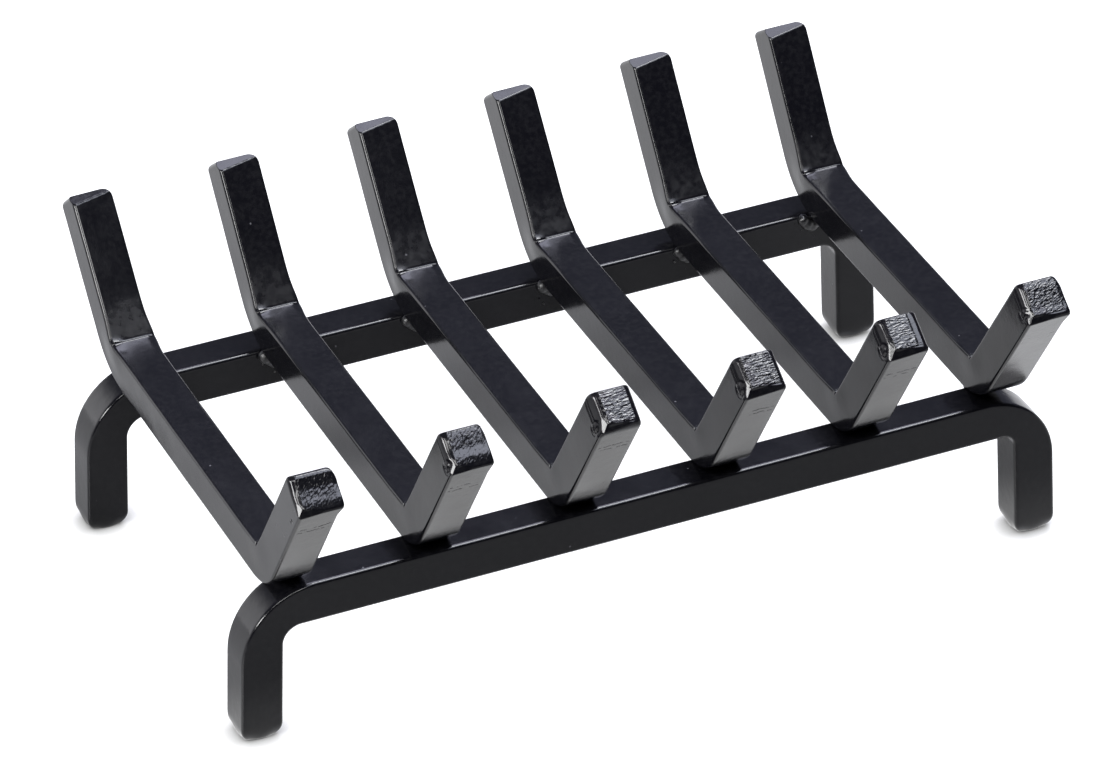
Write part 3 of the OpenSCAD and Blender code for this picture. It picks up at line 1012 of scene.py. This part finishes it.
def weld_bead():
    """A row of overlapping ripples with spatter round it, fused into one lumpy bead."""
    tree = bpy.data.node_groups.new("weld_bead", "GeometryNodeTree")
    face = tree.interface
    face.new_socket("Line", in_out="INPUT", socket_type="NodeSocketGeometry")
    for name, value in (("Leg", bead_leg), ("Step", bead_step), ("Grain", bead_grain),
                        ("Unevenness", 0.25), ("Roughness", 0.5 * mm)):
        face.new_socket(name, in_out="INPUT", socket_type="NodeSocketFloat").default_value = value
    for name, value in (("Seed", 1), ("Spatter", 5)):
        face.new_socket(name, in_out="INPUT", socket_type="NodeSocketInt").default_value = value
    face.new_socket("Paint", in_out="INPUT", socket_type="NodeSocketMaterial")
    face.new_socket("Bead", in_out="OUTPUT", socket_type="NodeSocketGeometry")
    given = tree.nodes.new("NodeGroupInput").outputs

    def chance(low, high, salt):
        """A number for each point, drawn from the bead's seed and a salt of its own."""
        seed = maths(tree, "ADD", given["Seed"], salt)
        return add(tree, "FunctionNodeRandomValue", {
            "Min": low, "Max": high, "Seed": seed}, data_type="FLOAT").outputs["Value"]

    line = add(tree, "GeometryNodeMeshToCurve", {"Mesh": given["Line"]}).outputs[0]
    spots = add(tree, "GeometryNodeCurveToPoints", {
        "Curve": line, "Length": given["Step"]}, mode="LENGTH").outputs[0]
    ball = add(tree, "GeometryNodeMeshIcoSphere", {
        "Radius": given["Leg"], "Subdivisions": 4}).outputs[0]
    size = maths(tree, "SUBTRACT", 1.0, maths(
        tree, "MULTIPLY", chance(0.0, 1.0, 1), given["Unevenness"]))
    ripples = add(tree, "GeometryNodeInstanceOnPoints", {
        "Points": spots, "Instance": ball, "Scale": size}).outputs[0]
    near = add(tree, "GeometryNodeCurveToPoints", {
        "Curve": line, "Count": given["Spatter"]}, mode="COUNT").outputs[0]
    jump = add(tree, "FunctionNodeRandomValue", {
        "Min": spatter_low, "Max": spatter_high, "Seed": maths(tree, "ADD", given["Seed"], 20)},
        data_type="FLOAT_VECTOR").outputs["Value"]
    thrown = add(tree, "GeometryNodeSetPosition", {"Geometry": near, "Offset": jump}).outputs[0]
    drops = add(tree, "GeometryNodeInstanceOnPoints", {
        "Points": thrown, "Instance": ball, "Scale": chance(*spatter_size, 3)}).outputs[0]
    both = tree.nodes.new("GeometryNodeJoinGeometry")
    tree.links.new(ripples, both.inputs[0])
    tree.links.new(drops, both.inputs[0])
    loose = add(tree, "GeometryNodeRealizeInstances", {"Geometry": both.outputs[0]}).outputs[0]
    solid = add(tree, "GeometryNodeMeshToVolume", {
        "Mesh": loose, "Voxel Size": given["Grain"],
        "Interior Band Width": 2 * bead_leg}, resolution_mode="VOXEL_SIZE").outputs[0]
    skin = add(tree, "GeometryNodeVolumeToMesh", {
        "Volume": solid, "Voxel Size": given["Grain"], "Threshold": 0.1},
        resolution_mode="VOXEL_SIZE").outputs[0]
    spot = tree.nodes.new("GeometryNodeInputPosition").outputs[0]
    way = tree.nodes.new("GeometryNodeInputNormal").outputs[0]
    wave = add(tree, "ShaderNodeTexNoise", {
        "Vector": spot, "W": given["Seed"], "Scale": bead_wave_scale, "Detail": 2},
        noise_dimensions="4D").outputs[0]
    wave = maths(tree, "SUBTRACT", wave, bead_wave_middle)
    push = maths(tree, "MULTIPLY", wave, given["Roughness"])
    offset = add(tree, "ShaderNodeVectorMath", {0: way, "Scale": push}, operation="SCALE")
    rough = add(tree, "GeometryNodeSetPosition", {
        "Geometry": skin, "Offset": offset.outputs[0]}).outputs[0]
    smooth = add(tree, "GeometryNodeSetShadeSmooth", {"Geometry": rough}).outputs[0]
    real = add(tree, "GeometryNodeRealizeInstances", {"Geometry": smooth}).outputs[0]
    painted = add(tree, "GeometryNodeSetMaterial", {
        "Geometry": real, "Material": given["Paint"]}).outputs[0]
    add(tree, "NodeGroupOutput", {"Bead": painted})
    return tree


weld_paint = black_paint("weld_paint", roughness=0.36, peel=0.05, gloss_ior=1.48)
bead = weld_bead()
for i in range(len(bars)):
    for kind in ("front", "rear"):
        name = f"{kind}_weld_{i + 1}"
        low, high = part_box(name)
        middle = (low.x + high.x) / 2
        line_y = low.y + bead_in if kind == "front" else high.y - bead_in
        spots = [(middle + x * mm, line_y, seat_z - down * mm) for x, down in bead_lines[kind]]
        line = bpy.data.meshes.new(name + "_line")
        line.from_pydata(spots, [(0, 1), (1, 2)], [])
        weld = made("painted_" + name, line, bead, {
            "Seed": 10 * i + len(kind), "Paint": weld_paint})
        face_out(weld.data)
        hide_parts(name)
        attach(weld, "root")
